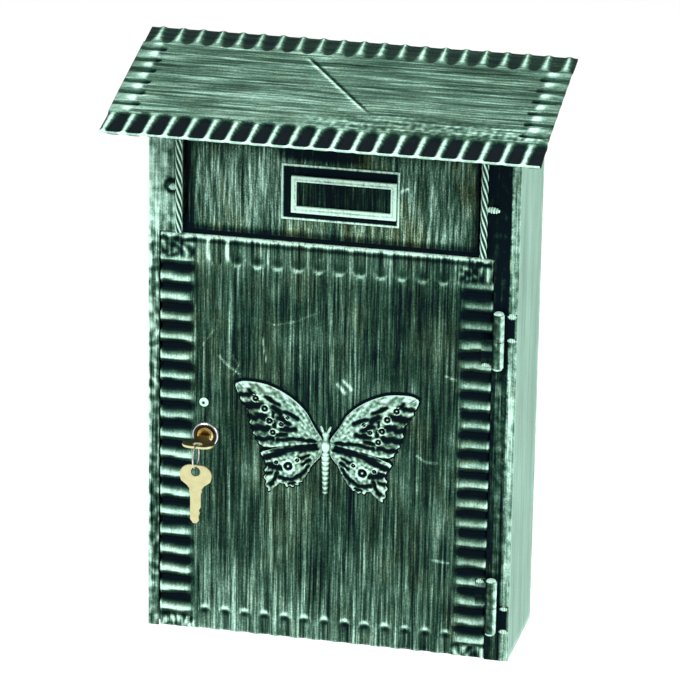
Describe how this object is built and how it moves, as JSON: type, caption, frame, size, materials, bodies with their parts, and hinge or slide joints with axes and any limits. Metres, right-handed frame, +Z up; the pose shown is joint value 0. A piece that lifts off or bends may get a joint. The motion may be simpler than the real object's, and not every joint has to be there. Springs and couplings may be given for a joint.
{
  "type": "wall mailbox",
  "caption": "Wall mailbox of hammered sheet steel: sloping roof, lifting mail flap with label holder, hinged lockable door with butterfly relief.",
  "frame": {"origin": "middle of the flat rear face that lies on the wall, 200 mm above the bottom edge of the case", "axes": "+Z up, +Y into the wall, +X to the right seen from the front; the door and flap face -Y"},
  "size_m": [0.302, 0.1344, 0.4162],
  "materials": {
    "patina": "black-green paint with pale mint brushed over the high spots, satin",
    "patina_sides": "pale mint brushed paint over dark green, satin",
    "patina_roof": "black-green paint with long pale mint brush strokes, satin",
    "patina_relief": "dark hollows and pale mint ridges, satin",
    "plated_steel": "nickel plated, polished",
    "plug_brass": "turned brass, slightly darkened",
    "key_metal": "nickel-brass, stamped, fine brushed"
  },
  "bodies": {
    "case": {"back_panel": "patina_sides", "left_side": "patina_sides", "right_side": "patina_sides", "bottom_panel": "patina", "left_stile": "patina", "right_stile": "patina", "header": "patina", "mid_rail": "patina", "roof": "patina_roof", "left_twisted_rod": "patina", "right_twisted_rod": "patina", "left_rod_bracket": "patina", "right_rod_bracket": "patina", "flap_rod": "patina", "upper_hinge_frame_leaf": "patina", "lower_hinge_frame_leaf": "patina", "upper_hinge_pin": "patina", "lower_hinge_pin": "patina", "lock_keeper": "patina"},
    "door": {"door_panel": "patina", "butterfly": "patina_relief", "door_rivet": "patina", "upper_hinge_door_leaf": "patina", "lower_hinge_door_leaf": "patina", "lock_sleeve": "plated_steel", "lock_nut": "plated_steel"},
    "flap": {"mail_flap": "patina", "label_plate": "patina", "label_frame": "patina"},
    "lock_plug": {"lock_plug": "plug_brass", "lock_cam": "plated_steel", "cam_screw": "plated_steel"},
    "key": {"key": "key_metal"},
    "key_ring": {"key_ring": "plated_steel"},
    "spare_key": {"spare_key": "key_metal"}
  },
  "joints": [
    {"name": "door_hinge", "type": "hinge", "parent": "case", "child": "door", "pos_m": [0.118, -0.089, -0.054], "axis": [0, 0, 1], "range_deg": [0, 170]},
    {"name": "flap_hinge", "type": "hinge", "parent": "case", "child": "flap", "pos_m": [0, -0.08, 0.18], "axis": [-1, 0, 0], "range_deg": [0, 65]},
    {"name": "lock_turn", "type": "hinge", "parent": "door", "child": "lock_plug", "pos_m": [-0.0883, -0.084, -0.0527], "axis": [0, 1, 0], "range_deg": [0, 90]},
    {"name": "key_pull", "type": "slide", "parent": "lock_plug", "child": "key", "axis": [0, -1, 0], "range_m": [0, 0.025]},
    {"name": "ring_swing", "type": "hinge", "parent": "key", "child": "key_ring", "pos_m": [-0.0883, -0.1108, -0.05954], "axis": [1, 0, 0], "range_deg": [-20, 20]},
    {"name": "spare_key_swing", "type": "hinge", "parent": "key_ring", "child": "spare_key", "pos_m": [-0.0883, -0.1108, -0.06794], "axis": [0, 1, 0], "range_deg": [-25, 25]}
  ]
}
